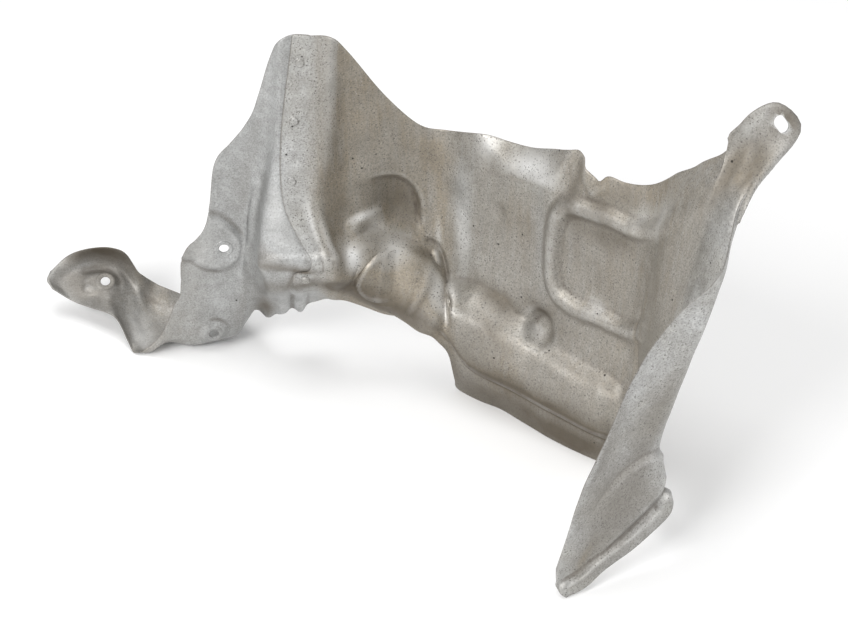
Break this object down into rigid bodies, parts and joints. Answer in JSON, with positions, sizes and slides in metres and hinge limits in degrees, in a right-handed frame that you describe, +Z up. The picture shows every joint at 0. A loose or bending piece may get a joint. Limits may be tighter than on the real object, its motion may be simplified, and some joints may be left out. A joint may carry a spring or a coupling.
{
  "type": "steering gear heat shield",
  "caption": "Pressed sheet-metal shield of two clinched sheets that wraps a steering gear and keeps exhaust heat off it.",
  "frame": {"origin": "middle of the shield's footprint, on the floor it stands on", "axes": "+Z up, +X along the shield from the lobe to the ear, +Y from the open front to the back wall"},
  "size_m": [0.4586, 0.3042, 0.2768],
  "materials": {
    "left_sheet": "dull pressed sheet, lightly stained",
    "main_sheet": "dull pressed sheet, stained and speckled"
  },
  "bodies": {
    "root": {"left_shield": "left_sheet", "main_shield": "main_sheet"}
  },
  "joints": []
}
